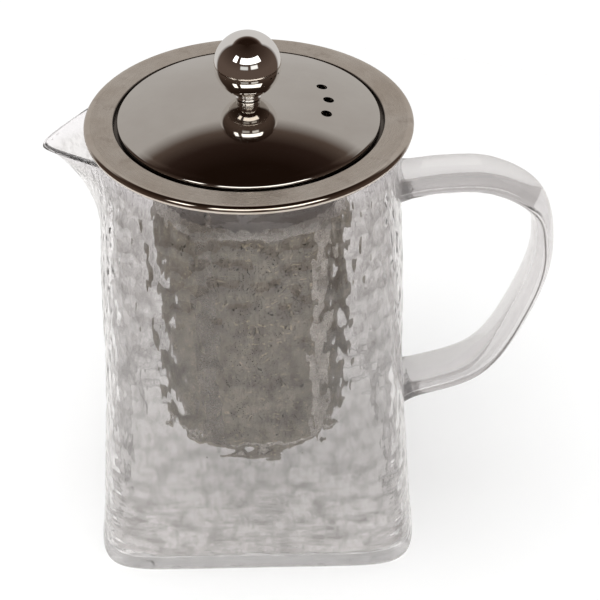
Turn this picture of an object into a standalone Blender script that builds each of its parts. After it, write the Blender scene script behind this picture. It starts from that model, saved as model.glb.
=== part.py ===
"""Glass teapot: a square-based glass jug with a pouring lip and a glass handle, a lift-out
steel infuser and a domed steel lid with a ball knob.

Metres, +Z up. The origin is the centre of the jug's base. The handle points along +X and
the pouring lip along -X.
"""

import math

import bmesh
import bpy
import numpy as np

GAP = 0.0003  # clearance between pieces that touch

# Jug wall: height, half width across the flats, squareness (2 is round, 8 a rounded square)
JUG_STATIONS = (
    (0.0000, 0.0516, 8.0),
    (0.0080, 0.0508, 7.6),
    (0.0270, 0.0495, 6.6),
    (0.0610, 0.0475, 4.8),
    (0.0950, 0.0473, 3.2),
    (0.1387, 0.0453, 2.0),
)
JUG_RIM_Z = JUG_STATIONS[-1][0]
JUG_WALL = 0.0022
JUG_FLOOR = 0.0040
JUG_HEEL = 0.0018  # radius between the base and the wall
JUG_HEEL_ANGLES = (0.0, 0.55, 1.1)  # where on that radius the rings lie, in radians
JUG_RING_HEIGHTS = (0.012, 0.030, 0.055, 0.080, 0.100, 0.110, 0.118, 0.125, 0.131, 0.135)
JUG_SEGMENTS = 64
SPOUT_START_Z = 0.0955
SPOUT_REACH = 0.0215  # how far the lip stands out past the round mouth
SPOUT_CURVE = 2.15  # how late the wall sweeps out into the lip
SPOUT_TIP_ROUND = math.radians(3.3)
SPOUT_DROP = 0.0063  # how far the tip hangs below the rim
SPOUT_DROP_CURVE = 0.75

# Handle: a flattened glass rod. Its centreline (x, z) runs from the upper to the lower weld.
HANDLE_CENTRELINE = (
    (0.0460, 0.1164),
    (0.0601, 0.1183),
    (0.0748, 0.1176),
    (0.0895, 0.1079),
    (0.0921, 0.0949),
    (0.0862, 0.0686),
    (0.0735, 0.0469),
    (0.0485, 0.0368),
)
HANDLE_WIDTH = 0.0195
HANDLE_THICKNESS = 0.0068
HANDLE_SQUARENESS = 2.1
HANDLE_FLARE = 0.15  # extra size of each weld pad at the wall
HANDLE_FLARE_LENGTH = 0.0022
HANDLE_SEGMENTS = 16
HANDLE_STEPS = 34
HANDLE_SAMPLES = 800  # fine steps that the even ones are measured on
WELD_RINGS = (1.0, 0.66, 0.33)  # sizes of the rings that close each end

# Infuser: heights are measured from the top face of its flange
FLANGE_TOP_Z = 0.1399
FLANGE_R = 0.0500
FLANGE_SHEET = 0.0009
FLANGE_BEAD = 0.00135  # radius of the rolled outer edge
RECESS_R = 0.0409
RECESS_DEPTH = 0.0016
RECESS_ROUND = 0.0006
NECK_INNER_R = 0.0301
NECK_DEPTH = 0.0090
NECK_ROUND = 0.0013
STEEL_WALL = 0.0008
RIM_SEGMENTS = 48
BASKET_TOP_R = 0.0318
BASKET_LOW_R = 0.0290
BASKET_WALL = 0.0006
BASKET_BOTTOM_Z = 0.0268
BASKET_CORNER = 0.0055
BASKET_SEGMENTS = 40
COLLAR_R = 0.0329
COLLAR_DEPTH = 0.0185
COLLAR_SLIT = 0.0024
COLLAR_SLIT_ANGLE = math.radians(-112.5)

# Lid: heights are measured from the same face
LID_R = 0.0399
LID_APEX = 0.0071
LID_BEAD = 0.0011
LID_SHEET = 0.0008
LID_CURL_END = -150  # where the rolled edge stops under the lid, in degrees
LID_SEGMENTS = 48
SKIRT_R = 0.0294
SKIRT_DEPTH = 0.0080
VENT_R = 0.00165
VENT_CIRCLE_R = 0.0242
VENT_PITCH = 0.0081
VENT_ANGLE = math.radians(3.3)
VENT_COUNT = 3
VENT_SEGMENTS = 16
VENT_CUT = 0.0100  # height of each cutting cylinder

# Knob
BALL_R = 0.0101
BALL_CENTRE = 0.0183
BALL_BORE_TOP = 0.0166
BALL_SEGMENTS = 24
KNOB_SEGMENTS = 20  # neck, washer and screw
SCREW_R = 0.0018
SCREW_HOLE_R = 0.0021
SCREW_HEAD_R = 0.0034
SCREW_HEAD = 0.0018
SCREW_HEAD_TAPER = 0.8
SCREW_SLOT = 0.0008
SCREW_TOP = 0.0160
NECK_R = 0.0038
NECK_WAIST_R = 0.0033
WASHER_R = 0.0050
WASHER = 0.0008


# ---------------------------------------------------------------- materials and mesh helpers


def material(name, colour, roughness, metallic=0.0, transmission=0.0):
    made = bpy.data.materials.new(name)
    made.use_nodes = True
    shader = made.node_tree.nodes["Principled BSDF"]
    shader.inputs["Base Color"].default_value = (*colour, 1.0)
    shader.inputs["Roughness"].default_value = roughness
    shader.inputs["Metallic"].default_value = metallic
    shader.inputs["Transmission Weight"].default_value = transmission
    shader.inputs["IOR"].default_value = 1.47
    return made


def finish(name, mesh_builder, surface, parent):
    """Turns a bmesh into a named, smooth-shaded object."""
    bmesh.ops.recalc_face_normals(mesh_builder, faces=mesh_builder.faces)
    mesh = bpy.data.meshes.new(name)
    mesh_builder.to_mesh(mesh)
    mesh_builder.free()
    mesh.shade_smooth()
    mesh.set_sharp_from_angle(angle=math.radians(40))
    mesh.materials.append(surface)
    made = bpy.data.objects.new(name, mesh)
    bpy.context.scene.collection.objects.link(made)
    made.parent = parent
    return made


def empty(name, parent=None):
    """A frame on the lift axis that a whole sub-assembly hangs from."""
    made = bpy.data.objects.new(name, None)
    bpy.context.scene.collection.objects.link(made)
    made.parent = parent
    return made


def cut(target, name, cutter_builder):
    """Cuts a bmesh out of an object, which keeps it as a hidden cutter."""
    mesh = bpy.data.meshes.new(name)
    cutter_builder.to_mesh(mesh)
    cutter_builder.free()
    cutter = bpy.data.objects.new(name, mesh)
    bpy.context.scene.collection.objects.link(cutter)
    cutter.parent = target.parent
    cutter.hide_render = True
    cutter.display_type = "WIRE"
    made = target.modifiers.new(name, "BOOLEAN")
    made.object = cutter
    made.operation = "DIFFERENCE"
    made.solver = "EXACT"


def join_rings(mesh_builder, first, second):
    """Quads between two rings of vertices, or triangles where one ring is a single point."""
    count = max(len(first), len(second))
    for i in range(count):
        j = (i + 1) % count
        corners = [first[i % len(first)], first[j % len(first)]]
        corners += [second[j % len(second)], second[i % len(second)]]
        mesh_builder.faces.new(list(dict.fromkeys(corners)))


def skin(rings, wrap=False):
    """A closed surface over a list of rings, each a list of points."""
    made = bmesh.new()
    rows = [[made.verts.new(point) for point in ring] for ring in rings]
    for first, second in zip(rows, rows[1:]):
        join_rings(made, first, second)
    if wrap:
        join_rings(made, rows[-1], rows[0])
    return made


def turned(profile, segments):
    """Turns an (r, z) outline about Z. It starts and ends on the axis, or is a closed section."""
    rings = []
    for radius, z in profile:
        if radius == 0.0:
            rings.append([(0.0, 0.0, z)])
            continue
        turns = [2 * math.pi * i / segments for i in range(segments)]
        rings.append([(radius * math.cos(t), radius * math.sin(t), z) for t in turns])
    return skin(rings, wrap=profile[0][0] != 0.0)


def arc(centre, radius, start, end, steps):
    """Points on an arc in the (r, z) plane, its angles in degrees."""
    angles = [math.radians(start + (end - start) * i / steps) for i in range(steps + 1)]
    return [(centre[0] + radius * math.cos(a), centre[1] + radius * math.sin(a)) for a in angles]


def smooth_values(knots, values, where):
    """Values at the given places of a smooth curve through the knots (cubic Hermite)."""
    knots = np.asarray(knots, float)
    values = np.asarray(values, float)
    slopes = np.gradient(values, knots, axis=0)
    where = np.clip(np.asarray(where, float), knots[0], knots[-1])
    i = np.clip(np.searchsorted(knots, where, side="right") - 1, 0, len(knots) - 2)
    span = knots[i + 1] - knots[i]
    t = (where - knots[i]) / span
    if values.ndim > 1:
        t, span = t[:, None], span[:, None]
    left = (1 + 2 * t) * (1 - t) ** 2 * values[i] + t * (1 - t) ** 2 * span * slopes[i]
    right = t * t * (3 - 2 * t) * values[i + 1] + t * t * (t - 1) * span * slopes[i + 1]
    return left + right


# ---------------------------------------------------------------- jug and handle


def jug_section(z):
    """Half width and squareness of the jug at height z."""
    heights, halves, squares = zip(*JUG_STATIONS)
    return float(smooth_values(heights, halves, z)), float(smooth_values(heights, squares, z))


def spout_rise(z):
    """0 below the pouring lip, 1 at the rim."""
    return min(max((z - SPOUT_START_Z) / (JUG_RIM_Z - SPOUT_START_Z), 0.0), 1.0)


def spout_stretch(angle, z):
    """How many times further out the wall lies because of the lip.

    The lip is the pair of tangents from its tip to the round mouth.
    """
    half = jug_section(z)[0]
    ratio = 1 + SPOUT_REACH * spout_rise(z) ** SPOUT_CURVE / half
    spread = math.acos(1 / ratio)
    off_tip = math.pi - abs(math.remainder(angle, 2 * math.pi))
    return 1 / math.cos(max(spread - math.hypot(off_tip, SPOUT_TIP_ROUND), 0.0))


def wall_radius(angle, z):
    half, square = jug_section(z)
    across = abs(math.cos(angle)) ** square + abs(math.sin(angle)) ** square
    return half / across ** (1 / square) * spout_stretch(angle, z)


def lip_drop(angle, z):
    """How far the wall's top hangs below the rim towards the tip of the lip."""
    out = spout_stretch(angle, JUG_RIM_Z) - 1
    most = spout_stretch(math.pi, JUG_RIM_Z) - 1
    return SPOUT_DROP * (out / most) ** SPOUT_DROP_CURVE * spout_rise(z) ** 2


def wall_ring(z, inset, lower=0.0):
    """A ring of the jug's wall at height z, moved in by inset and down by lower."""
    ring = []
    for i in range(JUG_SEGMENTS):
        angle = 2 * math.pi * i / JUG_SEGMENTS
        radius = wall_radius(angle, z) - inset
        height = z - lip_drop(angle, z) - lower
        ring.append((radius * math.cos(angle), radius * math.sin(angle), height))
    return ring


def glass_jug(surface, parent):
    heel = [(JUG_HEEL * (1 - math.sin(a)), JUG_HEEL * (1 - math.cos(a))) for a in JUG_HEEL_ANGLES]
    rings = [[(0.0, 0.0, 0.0)]]
    rings += [wall_ring(z, inset) for inset, z in heel]
    rings += [wall_ring(z, 0.0) for z in (JUG_HEEL, *JUG_RING_HEIGHTS)]
    edge = JUG_WALL / 3
    rings += [wall_ring(JUG_RIM_Z, 0.0, edge), wall_ring(JUG_RIM_Z, edge)]
    rings += [wall_ring(JUG_RIM_Z, 2 * edge), wall_ring(JUG_RIM_Z, JUG_WALL, edge)]
    rings += [wall_ring(z, JUG_WALL) for z in JUG_RING_HEIGHTS[:0:-1]]
    rings += [wall_ring(JUG_FLOOR + JUG_HEEL, JUG_WALL), wall_ring(JUG_FLOOR, JUG_WALL + JUG_HEEL)]
    rings += [[(0.0, 0.0, JUG_FLOOR)]]
    return finish("glass_jug", skin(rings), surface, parent)


def wall_x(y, z):
    """Where the outside of the jug's +X wall lies at the given y and z."""
    x = jug_section(z)[0]
    for _ in range(8):
        x = math.sqrt(wall_radius(math.atan2(y, x), z) ** 2 - y * y)
    return x


def handle_path():
    """Points and directions at even steps along the centreline."""
    points = np.array(HANDLE_CENTRELINE)
    along = np.concatenate([[0.0], np.cumsum(np.linalg.norm(np.diff(points, axis=0), axis=1))])
    fine = smooth_values(along, points, np.linspace(0, along[-1], HANDLE_SAMPLES))
    length = np.concatenate([[0.0], np.cumsum(np.linalg.norm(np.diff(fine, axis=0), axis=1))])
    even = np.linspace(0, length[-1], HANDLE_STEPS + 1)
    path = np.stack([np.interp(even, length, fine[:, k]) for k in (0, 1)], axis=1)
    direction = np.gradient(path, axis=0)
    direction /= np.linalg.norm(direction, axis=1)[:, None]
    return path, direction


def handle_ring(centre, direction, size):
    """One cross-section: a flattened round, wide along Y."""
    ring = []
    for i in range(HANDLE_SEGMENTS):
        angle = 2 * math.pi * i / HANDLE_SEGMENTS
        c, s = math.cos(angle), math.sin(angle)
        wide = math.copysign(abs(c) ** (2 / HANDLE_SQUARENESS), c) * HANDLE_WIDTH / 2 * size
        deep = math.copysign(abs(s) ** (2 / HANDLE_SQUARENESS), s) * HANDLE_THICKNESS / 2 * size
        ring.append((centre[0] - direction[1] * deep, wide, centre[1] + direction[0] * deep))
    return ring


def weld_pad(ring):
    """The rings that close an end of the handle against the curved wall."""
    middle_z = sum(point[2] for point in ring) / len(ring)
    caps = []
    for size in WELD_RINGS:
        flat = [(y * size, middle_z + (z - middle_z) * size) for _, y, z in ring]
        caps.append([(wall_x(y, z) + GAP, y, z) for y, z in flat])
    caps.append([(wall_x(0.0, middle_z) + GAP, 0.0, middle_z)])
    return caps


def glass_handle(surface, parent):
    path, direction = handle_path()
    rings = []
    for centre, ahead in zip(path, direction):
        off_wall = centre[0] - wall_x(0.0, centre[1]) - GAP
        if off_wall < HANDLE_FLARE_LENGTH / 3:
            continue
        size = 1 + HANDLE_FLARE * math.exp(-off_wall / HANDLE_FLARE_LENGTH)
        rings.append(handle_ring(centre, ahead, size))
    upper = handle_ring(path[0], direction[0], 1 + HANDLE_FLARE)
    lower = handle_ring(path[-1], direction[-1], 1 + HANDLE_FLARE)
    rings = weld_pad(upper)[::-1] + rings + weld_pad(lower)
    return finish("glass_handle", skin(rings), surface, parent)


# ---------------------------------------------------------------- infuser


def lifted(profile):
    """Moves an outline measured from the flange's top face to its place on the pot."""
    return [(radius, z + FLANGE_TOP_Z) for radius, z in profile]


def infuser_rim(surface, parent):
    """The pressed ring: flange with a rolled edge, lid seat, and neck that holds the basket."""
    bead = (FLANGE_R - FLANGE_BEAD, -FLANGE_BEAD)
    edge = (RECESS_R + RECESS_ROUND, -RECESS_ROUND)
    seat_low = -RECESS_DEPTH - STEEL_WALL
    neck_outer = NECK_INNER_R + STEEL_WALL
    turn = (NECK_INNER_R + NECK_ROUND, -RECESS_DEPTH - NECK_ROUND)
    outline = arc(bead, FLANGE_BEAD, 90, -180, 7)
    outline += [(bead[0] - FLANGE_BEAD, -FLANGE_SHEET), (RECESS_R + STEEL_WALL, -FLANGE_SHEET)]
    outline += [(RECESS_R + STEEL_WALL, seat_low), (neck_outer, seat_low)]
    outline += [(neck_outer, -NECK_DEPTH), (NECK_INNER_R, -NECK_DEPTH)]
    outline += arc(turn, NECK_ROUND, 180, 90, 3)
    outline += [(RECESS_R, -RECESS_DEPTH)]
    outline += arc(edge, RECESS_ROUND, 180, 90, 3)
    return finish("infuser_rim", turned(lifted(outline), RIM_SEGMENTS), surface, parent)


def basket_top_z():
    return FLANGE_TOP_Z - RECESS_DEPTH - STEEL_WALL - GAP


def basket_radius(z):
    """Outer radius of the tapering basket."""
    low = BASKET_BOTTOM_Z + BASKET_CORNER
    share = (z - low) / (basket_top_z() - low)
    return BASKET_LOW_R + (BASKET_TOP_R - BASKET_LOW_R) * share


def infuser_basket(surface, parent):
    top = basket_top_z()
    low = BASKET_BOTTOM_Z + BASKET_CORNER + GAP
    straight = FLANGE_TOP_Z - COLLAR_DEPTH - GAP
    outer = [(BASKET_TOP_R, top), (BASKET_TOP_R, straight), (basket_radius(low), low)]
    inner = [(radius - BASKET_WALL, z) for radius, z in outer[::-1]]
    return finish("infuser_basket", turned(outer + inner, BASKET_SEGMENTS), surface, parent)


def infuser_floor(surface, parent):
    """The basket's dished end, butted to the bottom of its wall."""
    low = BASKET_BOTTOM_Z + BASKET_CORNER
    centre = (BASKET_LOW_R - BASKET_CORNER, low)
    outer = [(0.0, BASKET_BOTTOM_Z)] + arc(centre, BASKET_CORNER, -90, 0, 4)
    inner = arc(centre, BASKET_CORNER - BASKET_WALL, 0, -90, 4)
    inner += [(0.0, BASKET_BOTTOM_Z + BASKET_WALL)]
    return finish("infuser_floor", turned(outer + inner, BASKET_SEGMENTS), surface, parent)


def infuser_collar(surface, parent):
    """A split band round the top of the basket."""
    top = basket_top_z()
    low = FLANGE_TOP_Z - COLLAR_DEPTH
    inner_r = BASKET_TOP_R + GAP
    half_slit = COLLAR_SLIT / 2 / COLLAR_R
    made = bmesh.new()
    rows = []
    for i in range(BASKET_SEGMENTS + 1):
        share = i / BASKET_SEGMENTS
        angle = COLLAR_SLIT_ANGLE + half_slit + share * (2 * math.pi - 2 * half_slit)
        corners = [(inner_r, low), (COLLAR_R, low), (COLLAR_R, top), (inner_r, top)]
        points = [(r * math.cos(angle), r * math.sin(angle), z) for r, z in corners]
        rows.append([made.verts.new(point) for point in points])
    for first, second in zip(rows, rows[1:]):
        join_rings(made, first, second)
    made.faces.new(rows[0])
    made.faces.new(rows[-1])
    return finish("infuser_collar", made, surface, parent)


# ---------------------------------------------------------------- lid and knob


def lid_cap():
    """Radius of the dome's sphere, the radius where it meets the bead, and the slope there."""
    rise = LID_APEX - (LID_BEAD + GAP - RECESS_DEPTH + LID_BEAD)
    reach = LID_R - LID_BEAD
    sphere = (reach**2 + rise**2) / (2 * rise)
    return sphere, reach, math.degrees(math.asin(reach / sphere))


def dome_z(radius, below=0.0):
    """Height of the dome's surface, or of one lying below it by the sheet's thickness."""
    sphere = lid_cap()[0]
    return LID_APEX - sphere + math.sqrt((sphere - below) ** 2 - radius**2)


def lid_vents():
    """The row of cylinders that pierces the steam holes."""
    cutter = bmesh.new()
    for i in range(VENT_COUNT):
        angle = VENT_ANGLE + (i - (VENT_COUNT - 1) / 2) * VENT_PITCH / VENT_CIRCLE_R
        made = bmesh.ops.create_cone(
            cutter,
            cap_ends=True,
            segments=VENT_SEGMENTS,
            radius1=VENT_R,
            radius2=VENT_R,
            depth=VENT_CUT,
        )
        place = (VENT_CIRCLE_R * math.cos(angle), VENT_CIRCLE_R * math.sin(angle))
        offset = (*place, FLANGE_TOP_Z + dome_z(VENT_CIRCLE_R))
        bmesh.ops.translate(cutter, verts=made["verts"], vec=offset)
    return cutter


def lid_dome(surface, parent):
    """The domed sheet, curled round at its edge and pierced by the steam holes."""
    _, reach, slope = lid_cap()
    outline = [(r, dome_z(r)) for r in np.linspace(SCREW_HOLE_R, reach, 6)[:-1]]
    bead = (reach, dome_z(reach) - LID_BEAD * math.cos(math.radians(slope)))
    outline += arc(bead, LID_BEAD, 90 - slope, LID_CURL_END, 6)
    under = np.linspace(reach - 2 * LID_BEAD, SCREW_HOLE_R, 5)
    outline += [(r, dome_z(r, LID_SHEET)) for r in under]
    made = finish("lid_dome", turned(lifted(outline), LID_SEGMENTS), surface, parent)
    cut(made, "vent_cutter", lid_vents())
    return made


def lid_skirt(surface, parent):
    """The ring under the lid that keeps it centred in the neck."""
    inner_r = SKIRT_R - STEEL_WALL
    outline = [(SKIRT_R, dome_z(SKIRT_R, LID_SHEET + GAP)), (SKIRT_R, -SKIRT_DEPTH)]
    outline += [(inner_r, -SKIRT_DEPTH), (inner_r, dome_z(inner_r, LID_SHEET + GAP))]
    return finish("lid_skirt", turned(lifted(outline), BASKET_SEGMENTS), surface, parent)


def knob_ball(surface, parent):
    """A turned ball, flat where it meets its neck, with a blind hole for the screw."""
    centre = (0.0, BALL_CENTRE)
    flat = -math.degrees(math.acos(NECK_R / BALL_R))
    outline = [(0.0, BALL_BORE_TOP), (SCREW_HOLE_R, BALL_BORE_TOP)]
    outline += [(SCREW_HOLE_R, BALL_CENTRE + BALL_R * math.sin(math.radians(flat)))]
    outline += arc(centre, BALL_R, flat, 90, 11)[:-1] + [(0.0, BALL_CENTRE + BALL_R)]
    return finish("knob_ball", turned(lifted(outline), BALL_SEGMENTS), surface, parent)


def knob_neck(surface, parent):
    """The short waisted spacer between the lid and the ball."""
    low = dome_z(SCREW_HOLE_R) + GAP
    high = BALL_CENTRE - math.sqrt(BALL_R**2 - NECK_R**2) - GAP
    outline = [(NECK_R, low), (NECK_WAIST_R, (low + high) / 2), (NECK_R, high)]
    outline += [(SCREW_HOLE_R, high), (SCREW_HOLE_R, low)]
    return finish("knob_neck", turned(lifted(outline), KNOB_SEGMENTS), surface, parent)


def washer_top():
    return dome_z(WASHER_R, LID_SHEET) - GAP


def knob_washer(surface, parent):
    top = washer_top()
    outline = [(WASHER_R, top), (WASHER_R, top - WASHER)]
    outline += [(SCREW_HOLE_R, top - WASHER), (SCREW_HOLE_R, top)]
    return finish("knob_washer", turned(lifted(outline), KNOB_SEGMENTS), surface, parent)


def knob_screw(surface, parent):
    """The screw that clamps ball, neck, lid and washer together, with a slotted pan head."""
    head_top = washer_top() - WASHER - GAP
    head_low = head_top - SCREW_HEAD
    outline = [(0.0, SCREW_TOP), (SCREW_R, SCREW_TOP), (SCREW_R, head_top)]
    outline += [(SCREW_HEAD_R, head_top), (SCREW_HEAD_R, head_low + SCREW_HEAD / 3)]
    outline += [(SCREW_HEAD_R * SCREW_HEAD_TAPER, head_low), (0.0, head_low)]
    made = finish("knob_screw", turned(lifted(outline), KNOB_SEGMENTS), surface, parent)
    slot = bmesh.new()
    bmesh.ops.create_cube(slot, size=1.0)
    bmesh.ops.scale(slot, verts=slot.verts, vec=(4 * SCREW_HEAD_R, SCREW_SLOT, SCREW_HEAD))
    bmesh.ops.translate(slot, verts=slot.verts, vec=(0.0, 0.0, FLANGE_TOP_Z + head_low))
    cut(made, "slot_cutter", slot)
    return made


def main():
    for old in list(bpy.data.objects):
        bpy.data.objects.remove(old, do_unlink=True)
    glass = material("clear_glass", (0.93, 0.94, 0.94), 0.02, transmission=1.0)
    handle_glass = material("handle_glass", (0.90, 0.89, 0.90), 0.02, transmission=1.0)
    satin = material("satin_steel", (0.52, 0.48, 0.45), 0.34, metallic=1.0)
    mirror = material("mirror_steel", (0.62, 0.60, 0.58), 0.06, metallic=1.0)
    etched = material("etched_steel", (0.55, 0.52, 0.46), 0.40, metallic=1.0)

    pot = empty("pot")
    glass_jug(glass, pot)
    glass_handle(handle_glass, pot)

    infuser = empty("infuser_lift_axis", pot)
    infuser_rim(satin, infuser)
    infuser_collar(mirror, infuser)
    infuser_basket(etched, infuser)
    infuser_floor(etched, infuser)

    lid = empty("lid_lift_axis", infuser)
    lid_dome(mirror, lid)
    lid_skirt(satin, lid)
    knob_ball(mirror, lid)
    knob_neck(mirror, lid)
    knob_washer(satin, lid)
    knob_screw(satin, lid)


main()
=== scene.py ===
"""Looks of the glass teapot: hammered glass jug, glass handle, perforated infuser, mirror lid.

Metres, +Z up, in the frame of the CAD model. The jug, the infuser and the lid are the three
bodies. Every piece here is a finer version of the CAD node that it stands for.
"""

import math

import bmesh
import bpy
import numpy as np
from mathutils import Matrix, Vector, kdtree


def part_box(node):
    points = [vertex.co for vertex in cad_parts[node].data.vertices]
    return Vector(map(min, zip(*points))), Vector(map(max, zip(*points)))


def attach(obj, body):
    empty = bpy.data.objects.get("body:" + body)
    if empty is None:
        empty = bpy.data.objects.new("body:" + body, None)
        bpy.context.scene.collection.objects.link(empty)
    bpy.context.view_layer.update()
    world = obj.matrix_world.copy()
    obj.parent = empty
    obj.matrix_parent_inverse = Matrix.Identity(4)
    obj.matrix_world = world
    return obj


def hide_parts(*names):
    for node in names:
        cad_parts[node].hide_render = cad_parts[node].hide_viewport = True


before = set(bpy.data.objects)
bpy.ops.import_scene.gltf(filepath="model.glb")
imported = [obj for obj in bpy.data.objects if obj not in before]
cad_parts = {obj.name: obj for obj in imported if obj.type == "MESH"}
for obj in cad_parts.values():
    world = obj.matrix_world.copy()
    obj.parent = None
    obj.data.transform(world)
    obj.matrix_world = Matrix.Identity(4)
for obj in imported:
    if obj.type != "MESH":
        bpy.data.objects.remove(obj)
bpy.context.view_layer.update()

# Jug wall, as in the CAD model: height, half width across the flats, squareness
JUG_STATIONS = (
    (0.0000, 0.0516, 8.0),
    (0.0080, 0.0508, 7.6),
    (0.0270, 0.0495, 6.6),
    (0.0610, 0.0475, 4.8),
    (0.0950, 0.0473, 3.2),
    (0.1387, 0.0453, 2.0),
)
JUG_RIM_Z = JUG_STATIONS[-1][0]
JUG_WALL = 0.0022
JUG_FLOOR = 0.0040
JUG_HEEL = 0.0018
SPOUT_START_Z = 0.0955
SPOUT_REACH = 0.0215
SPOUT_CURVE = 2.15
SPOUT_TIP_ROUND = math.radians(3.3)
SPOUT_DROP = 0.0063
SPOUT_DROP_CURVE = 0.75
JUG_COLUMNS = 448
JUG_EVEN_Z = 0.0400  # the columns stand evenly apart at this height
JUG_ROWS = 168
JUG_INNER_ROWS = 22
JUG_HEEL_STEPS = 9
JUG_RIM_STEPS = 6
JUG_CORNER_STEPS = 5
JUG_BASE_RINGS = (0.30, 0.62, 0.80, 0.90)  # sizes of the rings under the base
JUG_FLOOR_RINGS = (0.90, 0.75, 0.40)  # and on the floor

# Hammered pattern on the outside of the wall
DIMPLE_WIDE = 0.0062
DIMPLE_HIGH = 0.0068
DIMPLE_JITTER = 0.30
DIMPLE_DEPTH = 0.00042
DIMPLE_DEPTHS = (0.6, 1.25)  # the shallowest and the deepest, as shares of that
DIMPLE_REACH = 0.58  # a mark's radius, as a share of the mean pitch
DIMPLE_NEIGHBOURS = 4
DIMPLE_SOFT = 5.0  # how sharp the ridges between the dimples are
DIMPLE_SEED = 11
HAMMER_LOW_Z = -0.0010  # the marks fade in from here up, through the heel
HAMMER_TOP_Z = 0.1320
HAMMER_FADE = 0.0060
HAMMER_LIP_DROP = 0.0080  # the marks end this much lower at the pouring lip
HAMMER_LIP_STRETCH = (1.02, 1.20)
PAD_WALL_R = 0.0470  # the wall's distance from the axis at the handle's welds
PAD_SIZE = (0.62, 0.95)  # smooth spots there, as shares of the handle's width and thickness
PAD_EDGE = (0.75, 1.60)
RIDGE_SHARE = 0.62  # marks shallower than this share of the depth count as ridge

# Handle, as in the CAD model
HANDLE_CENTRELINE = (
    (0.0460, 0.1164),
    (0.0601, 0.1183),
    (0.0748, 0.1176),
    (0.0895, 0.1079),
    (0.0921, 0.0949),
    (0.0862, 0.0686),
    (0.0735, 0.0469),
    (0.0485, 0.0368),
)
HANDLE_WIDTH = 0.0195
HANDLE_THICKNESS = 0.0068
HANDLE_SQUARENESS = 2.1
HANDLE_FLARE = 0.15
HANDLE_FLARE_LENGTH = 0.0022
HANDLE_SEGMENTS = 64
HANDLE_STEPS = 190
HANDLE_SAMPLES = 4000
WELD_RINGS = (1.0, 0.9, 0.66, 0.33)
HANDLE_WELD = 0.00015  # how far each end is melted into the wall

ROUND_SEGMENTS = 200  # round the flange, the basket and the lid

# Infuser
FLANGE_TOP_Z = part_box("infuser_rim")[1].z
FLANGE_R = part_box("infuser_rim")[1].x
FLANGE_SHEET = 0.0009
FLANGE_BEAD = 0.00135
RECESS_R = 0.0409
RECESS_DEPTH = 0.0016
RECESS_ROUND = 0.0006
NECK_INNER_R = 0.0301
NECK_DEPTH = 0.0090
NECK_ROUND = 0.0013
STEEL_WALL = 0.0008
GAP = 0.0003
BASKET_TOP_R = 0.0318
BASKET_LOW_R = 0.0290
BASKET_WALL = 0.0006
BASKET_BOTTOM_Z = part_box("infuser_floor")[0].z
BASKET_CORNER = 0.0055
BASKET_TOP_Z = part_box("infuser_basket")[1].z
PANELS = 5
STRIP_TURN = math.radians(13.0)  # width of the plain strip between two panels
FIRST_STRIP = math.radians(-117.7)  # where the strip with the seam lies
PANEL_TOP_Z = 0.1160
PANEL_LOW_Z = 0.0345
HOLE_PITCH = 0.00098
HOLE_SHARE = 0.48  # a hole's width as a share of the pitch
SEAM_WIDTH = 0.0006
SEAM_HEIGHT = 0.00018
SEAM_SINK = 0.0001
SEAM_TURN = math.radians(3.1)  # from the middle of its strip
COLLAR_R = 0.0329
COLLAR_LOW_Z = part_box("infuser_collar")[0].z
COLLAR_SLIT = 0.0024
COLLAR_SLIT_ANGLE = math.radians(-112.5)

# Lid and knob
LID_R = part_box("lid_dome")[1].x
LID_APEX = 0.0071
LID_BEAD = 0.0011
LID_SHEET = 0.0008
SKIRT_R = 0.0294
SKIRT_DEPTH = 0.0080
SKIRT_SEGMENTS = 160
VENT_R = 0.00165
VENT_CIRCLE_R = 0.0242
VENT_PITCH = 0.0081
VENT_ANGLE = math.radians(3.3)
VENT_COUNT = 3
VENT_SEGMENTS = 40
VENT_CUT = 0.0100
BALL_R = 0.0101
BALL_CENTRE = 0.0183
BALL_BORE = 0.0020
BALL_SEGMENTS = 128
NECK_R = 0.0038
NECK_WAIST_R = 0.0033
NECK_RING = 0.16  # a rolled ring's radius, as a share of the neck's height
NECK_RING_REACH = 2.4  # how far from its end the waist starts, in ring radii
SPACER_SEGMENTS = 96
SCREW_HOLE_R = 0.0021

# Glass. It tints light once at each surface that the light passes.
GLASS_IOR = 1.47
JUG_TINT = ((0.635, 0.62, 0.614, 1), (0.685, 0.67, 0.664, 1))
# partly the thicker glass, partly painted shade that deepens the hammered pattern
THICK_GLASS_AND_SHADE_TINT = (0.30, 0.288, 0.28, 1)  # between the hammer marks
RIDGE_TINT_SHARE = 0.60
STROKE_TINT_SHARE = 0.55
FLOOR_TINT = (0.80, 0.79, 0.785, 1)
HEEL_TINT = (0.43, 0.42, 0.415, 1)
RIM_TINT = (0.70, 0.685, 0.69, 1)
RIPPLE_Z = (0.050, 0.020)  # below the first height the ripples turn from upright to lying
FLOOR_TINT_Z = (JUG_FLOOR + 0.0035, JUG_FLOOR + 0.0010)
HEEL_R = (0.0470, 0.0500)
RIM_TINT_Z = (0.1290, 0.1315)
ROD_TINT = ((0.50, 0.485, 0.482, 1), (0.545, 0.53, 0.525, 1))

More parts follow.
